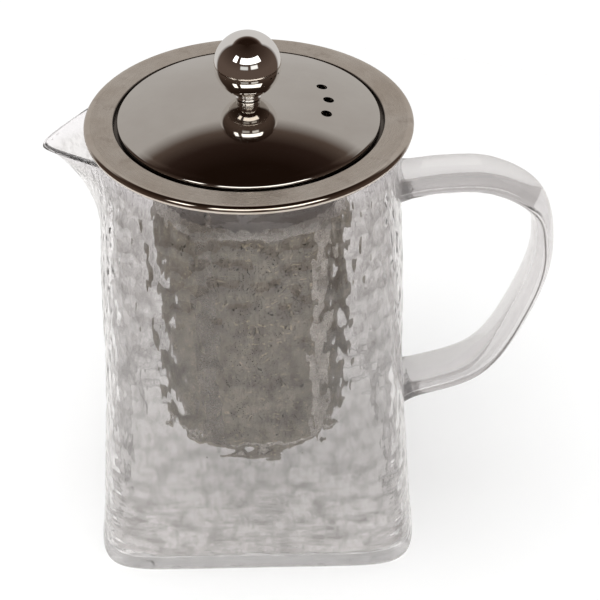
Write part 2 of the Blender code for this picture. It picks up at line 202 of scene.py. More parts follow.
# Steel: a dull and a bright tone for each sort
FLANGE_STEEL = ((0.50, 0.435, 0.375, 1), (0.60, 0.545, 0.49, 1))
MIRROR_STEEL = ((0.54, 0.505, 0.47, 1), (0.58, 0.55, 0.515, 1))
BALL_STEEL = ((0.90, 0.88, 0.86, 1), (0.93, 0.915, 0.90, 1))
# base colour held very dark: a painted dark reflection on the polished collar, skirt, washer and
# screw
DARK_PAINTED_BAND_STEEL = ((0.10, 0.086, 0.076, 1), (0.16, 0.142, 0.130, 1))
STRIP_STEEL = ((0.52, 0.49, 0.45, 1), (0.66, 0.625, 0.575, 1))
MESH_STEEL = ((0.26, 0.235, 0.20, 1), (0.40, 0.365, 0.305, 1))
STAIN = (0.25, 0.19, 0.15, 1)
# painted shade: the dark ring in the recess gap round the lid's seat
GAP_SHADE = (0.03, 0.022, 0.018, 1)
TOP_SHADE = (0.17, 0.155, 0.14, 1)
HEAT_REACH = (math.radians(14), math.radians(9))  # to either side of the seam
HEAT_TINT = (0.24, 0.215, 0.185, 1)
# painted glints: bright specks on the perforated panels
GLINT = (0.85, 0.74, 0.54, 1)

# Camera
CAMERA_PLACE = (0.006376, -0.487228, 0.432113)
CAMERA_PAN = 0.0179
CAMERA_PITCH = 0.6382
CAMERA_ROLL = 0.0068
CAMERA_LENS = 112.14
CAMERA_SENSOR = 36.0

# Studio
FLOOR_R = 0.30
FLOOR_Z = -0.0002
FLOOR_SEGMENTS = 96
ROOM_LIGHT = 0.45  # soft light all round
LAMP_POWER = 27.0
LAMP_SIZE = 1.6
LAMP_PLACE = (-0.2, -0.3, 1.5)
LAMP_TILT = (-0.15, -0.12, 0.0)
GLASS_BOUNCES = 28  # light runs a long way inside the thick base
PAPER = ((0.86, 0.86, 0.86, 1), (0.89, 0.89, 0.885, 1))
BACKDROP = (1.05, 1.05, 1.05, 1)
THROUGH_GLASS = ((0.94, 0.92, 0.91, 1), (0.94, 0.94, 0.94, 1))  # low and high in the room
THROUGH_LEVELS = (math.radians(14), math.radians(38))
# What mirrors see, by height: 0 is level, 1 is straight up
ROOM_TONES = (
    (0.0, (0.10, 0.07, 0.055, 1)),
    (0.45, (0.05, 0.032, 0.024, 1)),
    (1.0, (0.016, 0.008, 0.005, 1)),
)
WALL_TONES = (
    (0.46, (0.62, 0.60, 0.58, 1)),
    (0.52, (0.13, 0.095, 0.077, 1)),
    (0.585, (0.035, 0.02, 0.015, 1)),
    (0.68, (0.016, 0.008, 0.005, 1)),
)
# Patches of the room in degrees up, degrees round, and the softness of their edges
WALL_PATCH = ((-95, 95), (-58, 58), 6.0)
WINDOW_SOFT = 1.5
WINDOWS = (  # the last number is how bright each is
    ((27, 46), (-28, 54), 3.2),
    ((27, 46), (-58, -42), 3.2),
    ((8, 19), (-24, 2), 0.7),
    ((9, 21), (12, 36), 1.1),
)


# ---------------------------------------------------------------- mesh helpers


def smooth_values(knots, values, where):
    """Values at the given places of a smooth curve through the knots (cubic Hermite)."""
    knots = np.asarray(knots, float)
    values = np.asarray(values, float)
    slopes = np.gradient(values, knots, axis=0)
    where = np.clip(np.asarray(where, float), knots[0], knots[-1])
    i = np.clip(np.searchsorted(knots, where, side="right") - 1, 0, len(knots) - 2)
    span = knots[i + 1] - knots[i]
    t = (where - knots[i]) / span
    if values.ndim > 1:
        t, span = t[:, None], span[:, None]
    left = (1 + 2 * t) * (1 - t) ** 2 * values[i] + t * (1 - t) ** 2 * span * slopes[i]
    right = t * t * (3 - 2 * t) * values[i + 1] + t * t * (t - 1) * span * slopes[i + 1]
    return left + right


def ramp(value, low, high):
    """0 below low, 1 above high, smooth in between. It also runs the other way round."""
    share = np.clip((np.asarray(value, float) - low) / (high - low), 0.0, 1.0)
    return share * share * (3 - 2 * share)


def arc(centre, radius, start, end, steps):
    """Points on an arc in the (r, z) plane, its angles in degrees."""
    angles = [math.radians(start + (end - start) * i / steps) for i in range(steps + 1)]
    return [(centre[0] + radius * math.cos(a), centre[1] + radius * math.sin(a)) for a in angles]


def supported(profile, margin=0.00015, closed=True):
    """Adds points beside the ends of long straight runs, so that they shade flat."""
    made = []
    pairs = list(zip(profile, profile[1:] + profile[:1]))
    if not closed:
        pairs = pairs[:-1]
    for (r0, z0), (r1, z1) in pairs:
        made.append((r0, z0))
        length = math.hypot(r1 - r0, z1 - z0)
        if length > 6 * margin:
            share = margin / length
            made.append((r0 + (r1 - r0) * share, z0 + (z1 - z0) * share))
            made.append((r1 + (r0 - r1) * share, z1 + (z0 - z1) * share))
    if not closed:
        made.append(profile[-1])
    return made


def piece(name, points, faces, surface, body, replaced, sharp=40):
    """A named object that rides on a body and stands for CAD nodes."""
    mesh = bpy.data.meshes.new(name)
    mesh.from_pydata([tuple(p) for p in points], [], faces)
    builder = bmesh.new()
    builder.from_mesh(mesh)
    bmesh.ops.recalc_face_normals(builder, faces=builder.faces)
    builder.to_mesh(mesh)
    builder.free()
    mesh.shade_smooth()
    mesh.set_sharp_from_angle(angle=math.radians(sharp))
    mesh.materials.append(surface)
    made = bpy.data.objects.new(name, mesh)
    bpy.context.scene.collection.objects.link(made)
    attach(made, body)
    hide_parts(*replaced)
    return made


def skin(rings, wrap=False):
    """Points and faces of a closed surface over rings, which are arrays of N points or of 1."""
    starts = np.cumsum([0] + [len(ring) for ring in rings])
    faces = []
    pairs = list(zip(range(len(rings) - 1), range(1, len(rings))))
    if wrap:
        pairs.append((len(rings) - 1, 0))
    for a, b in pairs:
        count = max(len(rings[a]), len(rings[b]))
        i = np.arange(count)
        j = (i + 1) % count
        first, second = starts[a], starts[b]
        if len(rings[a]) == 1:
            faces += [(first, first_b, next_b) for first_b, next_b in zip(second + i, second + j)]
        elif len(rings[b]) == 1:
            faces += [(first_a, next_a, second) for first_a, next_a in zip(first + i, first + j)]
        else:
            quads = np.stack([first + i, first + j, second + j, second + i], axis=1)
            faces += quads.tolist()
    return np.concatenate(rings), faces


def capped(rings):
    """The rings with a point in the middle of each end, so that the skin is closed there."""
    first = rings[0].mean(axis=0, keepdims=True)
    last = rings[-1].mean(axis=0, keepdims=True)
    return [first, *rings, last]


def turned(profile, segments):
    """Turns an (r, z) outline, measured from the flange's top face, about Z."""
    turns = np.arange(segments) * 2 * math.pi / segments
    rings = []
    for radius, z in profile:
        height = z + FLANGE_TOP_Z
        if radius == 0.0:
            rings.append(np.array([[0.0, 0.0, height]]))
        else:
            ring = [radius * np.cos(turns), radius * np.sin(turns), np.full(segments, height)]
            rings.append(np.stack(ring, axis=1))
    return skin(rings, wrap=profile[0][0] != 0.0)


# ---------------------------------------------------------------- jug


def jug_section(z):
    heights, halves, squares = zip(*JUG_STATIONS)
    return smooth_values(heights, halves, z), smooth_values(heights, squares, z)


def spout_rise(z):
    return np.clip((z - SPOUT_START_Z) / (JUG_RIM_Z - SPOUT_START_Z), 0.0, 1.0)


def spout_stretch(angle, z):
    """How many times further out the wall lies because of the pouring lip."""
    ratio = 1 + SPOUT_REACH * spout_rise(z) ** SPOUT_CURVE / jug_section(z)[0]
    spread = np.arccos(1 / ratio)
    turn = np.remainder(angle, 2 * math.pi)
    off_tip = np.abs(turn - math.pi)
    return 1 / np.cos(np.maximum(spread - np.hypot(off_tip, SPOUT_TIP_ROUND), 0.0))


def wall_radius(angle, z):
    half, square = jug_section(z)
    across = np.abs(np.cos(angle)) ** square + np.abs(np.sin(angle)) ** square
    return half / across ** (1 / square) * spout_stretch(angle, z)


def lip_drop(angle, z):
    out = spout_stretch(angle, JUG_RIM_Z) - 1
    most = spout_stretch(math.pi, JUG_RIM_Z) - 1
    return SPOUT_DROP * (out / most) ** SPOUT_DROP_CURVE * spout_rise(z) ** 2


def even_angles(count, z):
    """Angles that stand evenly apart along the wall's outline at height z."""
    fine = np.linspace(0, 2 * math.pi, 4001)
    radius = wall_radius(fine, z)
    points = np.stack([radius * np.cos(fine), radius * np.sin(fine)], axis=1)
    along = np.concatenate([[0.0], np.cumsum(np.linalg.norm(np.diff(points, axis=0), axis=1))])
    return np.interp(np.arange(count) * along[-1] / count, along, fine), along[-1]


def dimple_seeds(around):
    """Centres of the hammer marks on the unrolled wall: distance round it, height, depth."""
    random = np.random.default_rng(DIMPLE_SEED)
    columns = round(around / DIMPLE_WIDE)
    wide = around / columns
    seeds = []
    for row in range(-1, math.ceil(JUG_RIM_Z / DIMPLE_HIGH) + 1):
        for column in range(columns):
            jitter = random.uniform(-DIMPLE_JITTER, DIMPLE_JITTER, 2)
            s = (column + 0.5 * (row % 2) + jitter[0]) * wide
            z = (row + 0.5 + jitter[1]) * DIMPLE_HIGH
            seeds.append((s % around, z, random.uniform(*DIMPLE_DEPTHS)))
    return seeds


def hammered(along, z, around):
    """How deep the hammer marks are at places on the unrolled wall, all arrays of one shape."""
    seeds = dimple_seeds(around)
    margin = 3 * DIMPLE_WIDE
    seeds += [(s + around, h, d) for s, h, d in seeds if s < margin]
    seeds += [(s - around, h, d) for s, h, d in seeds if around - margin < s < around]
    tree = kdtree.KDTree(len(seeds))
    for i, (s, height, _) in enumerate(seeds):
        tree.insert((s, height, 0.0), i)
    tree.balance()
    reach = DIMPLE_REACH * math.hypot(DIMPLE_WIDE, DIMPLE_HIGH) / math.sqrt(2)
    depth = np.zeros(len(along))
    for k, (s, height) in enumerate(zip(along, z)):
        weights, total = 0.0, 0.0
        for _, i, distance in tree.find_n((s, height, 0.0), DIMPLE_NEIGHBOURS):
            weight = math.exp(-DIMPLE_SOFT * (distance / reach) ** 2)
            weights += weight
            total += weight * seeds[i][2]
        nearest = -math.log(weights) / DIMPLE_SOFT
        depth[k] = total / weights * max(1 - nearest, 0.0)
    return depth * DIMPLE_DEPTH


def jug_ring(angles, z, inset, lower=0.0):
    radius = wall_radius(angles, z) - inset
    height = z - lip_drop(angles, z) - lower
    return np.stack([radius * np.cos(angles), radius * np.sin(angles), height], axis=1)


def smooth_pads(turn, height):
    """0 on the smooth spots where the handle is welded on, 1 away from them."""
    off = np.abs(np.remainder(turn + math.pi, 2 * math.pi) - math.pi) * PAD_WALL_R
    share = 1.0
    for pad_z in (HANDLE_CENTRELINE[0][1], HANDLE_CENTRELINE[-1][1]):
        pad = (off / (HANDLE_WIDTH * PAD_SIZE[0])) ** 2
        pad += ((height - pad_z) / (HANDLE_THICKNESS * PAD_SIZE[1])) ** 2
        share = share * ramp(pad, *PAD_EDGE)
    return share


def hammered_wall(angles, around):
    """Height of each point of the outer wall, how deep it is struck, how much it is a ridge."""
    along = np.arange(JUG_COLUMNS) * around / JUG_COLUMNS
    heights = np.linspace(JUG_HEEL, JUG_RIM_Z - JUG_WALL / 2, JUG_ROWS)
    place, height = np.meshgrid(along, heights)
    turn = np.broadcast_to(angles, place.shape)
    mark = hammered(place.ravel(), height.ravel(), around).reshape(place.shape)
    fade = ramp(height, HAMMER_LOW_Z, HAMMER_LOW_Z + HAMMER_FADE)
    lip = ramp(spout_stretch(turn, JUG_RIM_Z), *HAMMER_LIP_STRETCH)
    top = HAMMER_TOP_Z - HAMMER_LIP_DROP * lip
    fade = fade * ramp(height, top, top - HAMMER_FADE) * smooth_pads(turn, height)
    ridge = fade * np.clip(1 - mark / (RIDGE_SHARE * DIMPLE_DEPTH), 0.0, 1.0)
    return height, mark * fade, ridge


def jug_base(angles):
    """Rings from the middle of the base, round the heel, to the foot of the wall."""
    zero = np.zeros(JUG_COLUMNS)
    rings = [np.zeros((1, 3))]
    rings += [jug_ring(angles, zero, JUG_HEEL) * share for share in JUG_BASE_RINGS]
    for i in range(JUG_HEEL_STEPS):
        a = math.pi / 2 * i / JUG_HEEL_STEPS
        heel_z = zero + JUG_HEEL * (1 - math.cos(a))
        rings.append(jug_ring(angles, heel_z, JUG_HEEL * (1 - math.sin(a))))
    return rings


def jug_inside(angles):
    """Rings over the rim, down the inside of the wall and over the floor to its middle."""
    zero = np.zeros(JUG_COLUMNS)
    rings = []
    for i in range(JUG_RIM_STEPS + 1):
        a = math.pi * i / JUG_RIM_STEPS
        inset = JUG_WALL / 2 * (1 - math.cos(a))
        lower = JUG_WALL / 2 * (1 - math.sin(a))
        rings.append(jug_ring(angles, zero + JUG_RIM_Z, inset, lower))
    low = JUG_FLOOR + JUG_HEEL
    for z in np.linspace(JUG_RIM_Z - JUG_WALL, low, JUG_INNER_ROWS)[1:-1]:
        rings.append(jug_ring(angles, zero + z, JUG_WALL))
    for i in range(JUG_CORNER_STEPS + 1):
        a = math.pi / 2 * i / JUG_CORNER_STEPS
        inset = JUG_WALL + JUG_HEEL * (1 - math.cos(a))
        rings.append(jug_ring(angles, zero + low - JUG_HEEL * math.sin(a), inset))
    edge = rings[-1]
    for share in JUG_FLOOR_RINGS:
        ring = edge * share
        ring[:, 2] = JUG_FLOOR
        rings.append(ring)
    return rings + [np.array([[0.0, 0.0, JUG_FLOOR]])]


def glass_jug(surface):
    angles, around = even_angles(JUG_COLUMNS, JUG_EVEN_Z)
    height, mark, ridge = hammered_wall(angles, around)
    base = jug_base(angles)
    wall = [jug_ring(angles, z, depth) for z, depth in zip(height, mark)]
    points, faces = skin(base + wall + jug_inside(angles))
    made = piece("jug_hammered_glass", points, faces, surface, "jug", ["glass_jug"])
    made.visible_shadow = False
    below = sum(len(ring) for ring in base)
    thick = np.zeros(len(points), np.float32)
    thick[below : below + ridge.size] = ridge.ravel()
    made.data.attributes.new("glass_ridge", "FLOAT", "POINT").data.foreach_set("value", thick)


# ---------------------------------------------------------------- handle


def wall_x(y, z):
    """Where the outside of the jug's +X wall lies, for arrays of y and z."""
    x = jug_section(z)[0]
    for _ in range(8):
        x = np.sqrt(wall_radius(np.arctan2(y, x), z) ** 2 - y * y)
    return x


def handle_path():
    points = np.array(HANDLE_CENTRELINE)
    along = np.concatenate([[0.0], np.cumsum(np.linalg.norm(np.diff(points, axis=0), axis=1))])
    fine = smooth_values(along, points, np.linspace(0, along[-1], HANDLE_SAMPLES))
    length = np.concatenate([[0.0], np.cumsum(np.linalg.norm(np.diff(fine, axis=0), axis=1))])
    even = np.linspace(0, length[-1], HANDLE_STEPS + 1)
    path = np.stack([np.interp(even, length, fine[:, k]) for k in (0, 1)], axis=1)
    direction = np.gradient(path, axis=0)
    direction /= np.linalg.norm(direction, axis=1)[:, None]
    return path, direction


def handle_ring(centre, direction, size):
    angle = np.arange(HANDLE_SEGMENTS) * 2 * math.pi / HANDLE_SEGMENTS
    c, s = np.cos(angle), np.sin(angle)
    power = 2 / HANDLE_SQUARENESS
    wide = np.copysign(np.abs(c) ** power, c) * HANDLE_WIDTH / 2 * size
    deep = np.copysign(np.abs(s) ** power, s) * HANDLE_THICKNESS / 2 * size
    x = centre[0] - direction[1] * deep
    z = centre[1] + direction[0] * deep
    return np.stack([x, wide, z], axis=1)


def weld_pad(ring):
    """The rings that close an end of the handle against the curved wall."""
    middle_z = ring[:, 2].mean()
    caps = []
    for size in WELD_RINGS:
        y = ring[:, 1] * size
        z = middle_z + (ring[:, 2] - middle_z) * size
        caps.append(np.stack([wall_x(y, z) - HANDLE_WELD, y, z], axis=1))
    y, z = np.zeros(1), np.array([middle_z])
    caps.append(np.stack([wall_x(y, z) - HANDLE_WELD, y, z], axis=1))
    return caps


def glass_handle(surface):
    path, direction = handle_path()
    rings = []
    for centre, ahead in zip(path, direction):
        off_wall = centre[0] - wall_x(np.zeros(1), np.array([centre[1]]))[0]
        if off_wall < HANDLE_FLARE_LENGTH / 3:
            continue
        size = 1 + HANDLE_FLARE * math.exp(-off_wall / HANDLE_FLARE_LENGTH)
        rings.append(handle_ring(centre, ahead, size))
    upper = handle_ring(path[0], direction[0], 1 + HANDLE_FLARE)
    lower = handle_ring(path[-1], direction[-1], 1 + HANDLE_FLARE)
    rings = weld_pad(upper)[::-1] + rings + weld_pad(lower)
    points, faces = skin(rings)
    name = "handle_glass_rod"
    made = piece(name, points, faces, surface, "jug", ["glass_handle"], 60)
    made.visible_shadow = False


# ---------------------------------------------------------------- infuser


def infuser_rim(surface):
    bead = (FLANGE_R - FLANGE_BEAD, -FLANGE_BEAD)
    edge = (RECESS_R + RECESS_ROUND, -RECESS_ROUND)
    seat_low = -RECESS_DEPTH - STEEL_WALL
    neck_outer = NECK_INNER_R + STEEL_WALL
    turn = (NECK_INNER_R + NECK_ROUND, -RECESS_DEPTH - NECK_ROUND)
    outline = arc(bead, FLANGE_BEAD, 90, -180, 27)
    outline += [(bead[0] - FLANGE_BEAD, -FLANGE_SHEET), (RECESS_R + STEEL_WALL, -FLANGE_SHEET)]
    outline += [(RECESS_R + STEEL_WALL, seat_low), (neck_outer, seat_low)]
    outline += [(neck_outer, -NECK_DEPTH), (NECK_INNER_R, -NECK_DEPTH)]
    outline += arc(turn, NECK_ROUND, 180, 90, 8)
    outline += [(RECESS_R, -RECESS_DEPTH)]
    outline += arc(edge, RECESS_ROUND, 180, 90, 10)
    points, faces = turned(supported(outline), ROUND_SEGMENTS)
    piece("infuser_flange", points, faces, surface, "infuser", ["infuser_rim"])


def basket_radius(z):
    """Outer radius of the tapering basket."""
    low = BASKET_BOTTOM_Z + BASKET_CORNER
    share = np.clip((z - low) / (BASKET_TOP_Z - low), 0.0, 1.0)
    return BASKET_LOW_R + (BASKET_TOP_R - BASKET_LOW_R) * share


def on_basket(angle, z, inset):
    radius = basket_radius(z) - inset
    return np.stack([radius * np.cos(angle), radius * np.sin(angle), z], axis=-1)


def grid_faces(rows, columns, offset):
    """Quads over a grid of rows x columns points whose first has the given number."""
    i, j = np.meshgrid(np.arange(rows - 1), np.arange(columns - 1), indexing="ij")
    first = (i * columns + j + offset).ravel()
    return np.stack([first, first + 1, first + columns + 1, first + columns], axis=1).tolist()


def border(rows, columns):
    """Numbers of the points round the edge of a grid, in order."""
    top = np.arange(columns)
    right = np.arange(1, rows) * columns + columns - 1
    bottom = (rows - 1) * columns + np.arange(columns - 2, -1, -1)
    left = np.arange(rows - 2, 0, -1) * columns
    return np.concatenate([top, right, bottom, left])


def edge_faces(rows, columns, other):
    """Quads that close the edge between a grid and its copy, which starts at number other."""
    rim = border(rows, columns)
    after = np.roll(rim, -1)
    return np.stack([rim, after, after + other, rim + other], axis=1).tolist()


def plain_sheet(surface_of, u, v):
    """Points and faces of a closed sheet over the grid u x v, without holes."""
    grid_u, grid_v = np.meshgrid(u, v)
    sides = [surface_of(grid_u, grid_v, inset).reshape(-1, 3) for inset in (0.0, BASKET_WALL)]
    count = grid_u.size
    faces = grid_faces(len(v), len(u), 0) + grid_faces(len(v), len(u), count)
    faces += edge_faces(len(v), len(u), count)
    return np.concatenate(sides), faces


def perforated_sheet(surface_of, u, v):
    """Points and faces of a closed sheet over the grid u x v, with a hole in each cell."""
    grid_u, grid_v = np.meshgrid(u, v)
    rows, columns = len(v), len(u)
    mid_u = (grid_u[:-1, :-1] + grid_u[1:, 1:]) / 2
    mid_v = (grid_v[:-1, :-1] + grid_v[1:, 1:]) / 2
    half_u = (u[1] - u[0]) / 2 * HOLE_SHARE
    half_v = (v[1] - v[0]) / 2 * HOLE_SHARE
    corners = ((0, -half_v), (half_u, 0), (0, half_v), (-half_u, 0))
    hole_u = np.stack([mid_u + du for du, _ in corners], axis=-1)
    hole_v = np.stack([mid_v + dv for _, dv in corners], axis=-1)
    sides = []
    for inset in (0.0, BASKET_WALL):
        sides.append(surface_of(grid_u, grid_v, inset).reshape(-1, 3))
        sides.append(surface_of(hole_u, hole_v, inset).reshape(-1, 3))
    solid = rows * columns
    cells = (rows - 1) * (columns - 1)
    side = solid + 4 * cells
    i, j = np.meshgrid(np.arange(rows - 1), np.arange(columns - 1), indexing="ij")
    a = (i * columns + j).ravel()
    b, c, d = a + 1, a + columns + 1, a + columns
    south = solid + 4 * np.arange(cells)
    east, north, west = south + 1, south + 2, south + 3
    faces = []
    triangles = ((a, b, south), (b, east, south), (b, c, east), (c, north, east))
    triangles += ((c, d, north), (d, west, north), (d, a, west), (a, south, west))
    for triangle in triangles:
        one = np.stack(triangle, axis=1)
        faces += one.tolist() + (one + side).tolist()
    for first, second in ((south, east), (east, north), (north, west), (west, south)):
        faces += np.stack([first, second, second + side, first + side], axis=1).tolist()
    faces += edge_faces(rows, columns, side)
    return np.concatenate(sides), faces


def merged(parts):
    """Several (points, faces) as one."""
    points, faces, offset = [], [], 0
    for some_points, some_faces in parts:
        points.append(some_points)
        faces += [tuple(i + offset for i in face) for face in some_faces]
        offset += len(some_points)
    return np.concatenate(points), faces


def mesh_panels(surface):
    """The perforated panels of the basket's wall."""
    turn = 2 * math.pi / PANELS
    columns = round((turn - STRIP_TURN) * BASKET_LOW_R / HOLE_PITCH)
    rows = round((PANEL_TOP_Z - PANEL_LOW_Z) / HOLE_PITCH)
    v = np.linspace(PANEL_LOW_Z, PANEL_TOP_Z, rows + 1)
    for i in range(PANELS):
        start = FIRST_STRIP + STRIP_TURN / 2 + i * turn
        u = np.linspace(start, start + turn - STRIP_TURN, columns + 1)
        points, faces = perforated_sheet(on_basket, u, v)
        name = f"infuser_mesh_panel_{i + 1}"
        parts = ["infuser_basket"]
        panel = piece(name, points, faces, surface, "infuser", parts, 25)
        panel.visible_shadow = False


def plain_bands(surface):
    """The basket's plain top and bottom bands, the strips between its panels, and its seam."""
    parts = []
    low = BASKET_BOTTOM_Z + BASKET_CORNER + GAP
    for z0, z1, rows in ((low, PANEL_LOW_Z, 3), (PANEL_TOP_Z, BASKET_TOP_Z, 12)):
        outer = [(basket_radius(z), z) for z in np.linspace(z1, z0, rows)]
        inner = [(radius - BASKET_WALL, z) for radius, z in outer[::-1]]
        ring = [(radius, z - FLANGE_TOP_Z) for radius, z in outer + inner]
        parts.append(turned(ring, ROUND_SEGMENTS))
    for i in range(PANELS):
        middle = FIRST_STRIP + i * 2 * math.pi / PANELS
        u = np.linspace(middle - STRIP_TURN / 2, middle + STRIP_TURN / 2, 9)
        parts.append(plain_sheet(on_basket, u, np.linspace(PANEL_LOW_Z, PANEL_TOP_Z, 30)))
    parts.append(weld_seam(FIRST_STRIP + SEAM_TURN, low))
    points, faces = merged(parts)
    name = "infuser_bands"
    made = piece(name, points, faces, surface, "infuser", ["infuser_basket"])
    made.visible_shadow = False


def weld_seam(angle, low):
    """A thin raised line where the rolled sheet is joined."""
    heights = np.linspace(low, COLLAR_LOW_Z - GAP, 60)
    arch = np.linspace(0, math.pi, 7)
    rings = []
    for z in heights:
        radius = basket_radius(z) - SEAM_SINK + SEAM_HEIGHT * np.sin(arch)
        turn = angle + SEAM_WIDTH / 2 * np.cos(arch) / BASKET_LOW_R
        rings.append(np.stack([radius * np.cos(turn), radius * np.sin(turn), z + 0 * arch], axis=1))
    return skin(capped(rings))


def disc(u, v):
    """Carries a square of side 2 onto a round disc of radius 1."""
    return u * np.sqrt(1 - v * v / 2), v * np.sqrt(1 - u * u / 2)


def on_floor(u, v, inset):
    """The middle of the basket's floor: u and v run from -1 to 1."""
    radius = BASKET_LOW_R - BASKET_CORNER
    x, y = disc(u, v)
    return np.stack([x * radius, y * radius, np.full_like(x, BASKET_BOTTOM_Z + inset)], axis=-1)


def infuser_floor(surface):
    radius = BASKET_LOW_R - BASKET_CORNER
    cells = round(2 * radius / HOLE_PITCH)
    grid = np.linspace(-1, 1, cells + 1)
    parts = [perforated_sheet(on_floor, grid, grid)]
    low = BASKET_BOTTOM_Z + BASKET_CORNER
    outer = arc((radius, low), BASKET_CORNER, -90, 0, 12)
    inner = arc((radius, low), BASKET_CORNER - BASKET_WALL, 0, -90, 12)
    ring = [(r, z - FLANGE_TOP_Z) for r, z in outer + inner]
    parts.append(turned(ring, 4 * cells))
    points, faces = merged(parts)
    name = "infuser_mesh_floor"
    made = piece(name, points, faces, surface, "infuser", ["infuser_floor"], 25)
    made.visible_shadow = False


def infuser_collar(surface):
    """A split band round the top of the basket, with a softly rolled lower edge."""
    inner = BASKET_TOP_R + GAP
    thick = COLLAR_R - inner
    edge = arc((inner + thick / 2, COLLAR_LOW_Z + thick / 2), thick / 2, 180, 360, 10)
    profile = supported(edge + [(COLLAR_R, BASKET_TOP_Z), (inner, BASKET_TOP_Z)])
    half_slit = COLLAR_SLIT / 2 / COLLAR_R
    turns = COLLAR_SLIT_ANGLE + np.linspace(half_slit, 2 * math.pi - half_slit, 181)
    r, z = np.array(profile).T
    rings = [np.stack([r * math.cos(turn), r * math.sin(turn), z], axis=1) for turn in turns]
    points, faces = skin(capped(rings))
    name = "infuser_collar_band"
    piece(name, points, faces, surface, "infuser", ["infuser_collar"])


# ---------------------------------------------------------------- lid and knob


def lid_cap():
    """Radius of the dome's sphere, the radius where it meets the bead, and the slope there."""
    rise = LID_APEX - (LID_BEAD + GAP - RECESS_DEPTH + LID_BEAD)
    reach = LID_R - LID_BEAD
    sphere = (reach**2 + rise**2) / (2 * rise)
    return sphere, reach, math.degrees(math.asin(reach / sphere))


def dome_z(radius, below=0.0):
    sphere = lid_cap()[0]
    return LID_APEX - sphere + math.sqrt((sphere - below) ** 2 - radius**2)


def vent_cutter():
    cutter = bmesh.new()
    for i in range(VENT_COUNT):
        angle = VENT_ANGLE + (i - (VENT_COUNT - 1) / 2) * VENT_PITCH / VENT_CIRCLE_R
        made = bmesh.ops.create_cone(
            cutter,
            cap_ends=True,
            segments=VENT_SEGMENTS,
            radius1=VENT_R,
            radius2=VENT_R,
            depth=VENT_CUT,
        )
        place = (VENT_CIRCLE_R * math.cos(angle), VENT_CIRCLE_R * math.sin(angle))
        offset = (*place, FLANGE_TOP_Z + dome_z(VENT_CIRCLE_R))
        bmesh.ops.translate(cutter, verts=made["verts"], vec=offset)
    mesh = bpy.data.meshes.new("vent_cutter")
    cutter.to_mesh(mesh)
    cutter.free()
    return bpy.data.objects.new("vent_cutter", mesh)


def cut_and_keep_gloss(dome):
    """Cuts the steam holes, then gives the dome the exact normals of its sphere again."""
    cutter = vent_cutter()
    bpy.context.scene.collection.objects.link(cutter)
    cut = dome.modifiers.new("vents", "BOOLEAN")
    cut.object = cutter
    cut.operation = "DIFFERENCE"
    cut.solver = "EXACT"
    graph = bpy.context.evaluated_depsgraph_get()
    dome.data = bpy.data.meshes.new_from_object(dome.evaluated_get(graph))
    dome.modifiers.clear()
    bpy.data.objects.remove(cutter)
    mesh = dome.data
    sphere, reach, _ = lid_cap()
    centre = Vector((0.0, 0.0, FLANGE_TOP_Z + LID_APEX - sphere))
    normals = [Vector(corner.vector) for corner in mesh.corner_normals]
    for face in mesh.polygons:
        for corner in face.loop_indices:
            point = mesh.vertices[mesh.loops[corner].vertex_index].co
            outward = (point - centre).normalized()
            inside = math.hypot(point.x, point.y) < reach * 0.97
            if inside and abs(face.normal.dot(outward)) > 0.9:
                normals[corner] = outward if face.normal.z > 0 else -outward
    mesh.normals_split_custom_set(normals)


def lid_dome(surface):
    _, reach, slope = lid_cap()
    top = [(r, dome_z(r)) for r in np.linspace(SCREW_HOLE_R, reach, 40)[:-1]]
    tilt = math.radians(slope)
    bead = (reach, dome_z(reach) - LID_BEAD * math.cos(tilt))
    outline = top + arc(bead, LID_BEAD, 90 - slope, -150, 20)
    under = np.linspace(reach - 2 * LID_BEAD, SCREW_HOLE_R, 20)
    outline += [(r, dome_z(r, LID_SHEET)) for r in under]
    points, faces = turned(outline, ROUND_SEGMENTS)
    made = piece("lid_cover", points, faces, surface, "lid", ["lid_dome"])
    cut_and_keep_gloss(made)


def lid_skirt(surface):
    inner_r = SKIRT_R - STEEL_WALL
    outline = [(SKIRT_R, dome_z(SKIRT_R, LID_SHEET + GAP)), (SKIRT_R, -SKIRT_DEPTH)]
    outline += [(inner_r, -SKIRT_DEPTH), (inner_r, dome_z(inner_r, LID_SHEET + GAP))]
    points, faces = turned(supported(outline), SKIRT_SEGMENTS)
    piece("lid_locating_ring", points, faces, surface, "lid", ["lid_skirt"])


def knob_ball(surface):
    flat = -math.degrees(math.acos(NECK_R / BALL_R))
    low = BALL_CENTRE + BALL_R * math.sin(math.radians(flat))
    bore_end = low + BALL_BORE
    outline = [(0.0, bore_end), (SCREW_HOLE_R, bore_end), (SCREW_HOLE_R, low)]
    outline += arc((0.0, BALL_CENTRE), BALL_R, flat, 90, 60)[:-1] + [(0.0, BALL_CENTRE + BALL_R)]
    points, faces = turned(supported(outline, closed=False), BALL_SEGMENTS)
    piece("knob_mirror_ball", points, faces, surface, "lid", ["knob_ball"])


def knob_neck(surface):
    """A waisted spacer between two thin rolled rings."""
    low = dome_z(SCREW_HOLE_R) + GAP / 3
    high = BALL_CENTRE - math.sqrt(BALL_R**2 - NECK_R**2) - GAP / 3
    ring = (high - low) * NECK_RING
    outline = arc((NECK_R - ring, low + ring), ring, -90, 70, 8)
    reach = NECK_RING_REACH * ring
    outline += [(NECK_WAIST_R, low + reach), (NECK_WAIST_R, high - reach)]
    outline += arc((NECK_R - ring, high - ring), ring, -70, 90, 8)
    outline += [(SCREW_HOLE_R, high), (SCREW_HOLE_R, low)]
    points, faces = turned(outline, SPACER_SEGMENTS)
    piece("knob_spacer", points, faces, surface, "lid", ["knob_neck"], 60)


# ---------------------------------------------------------------- materials


def add(tree, kind, settings=None, **inputs):
    """A shader node. An input given as a socket is linked; _3 stands for the fourth input."""
    made = tree.nodes.new("ShaderNode" + kind)
    for key, value in (settings or {}).items():
        setattr(made, key, value)
    for key, value in inputs.items():
        socket = made.inputs[int(key[1:]) if key[0] == "_" else key.replace("_", " ")]
        if isinstance(value, bpy.types.NodeSocket):
            tree.links.new(value, socket)
        else:
            socket.default_value = value
    return made


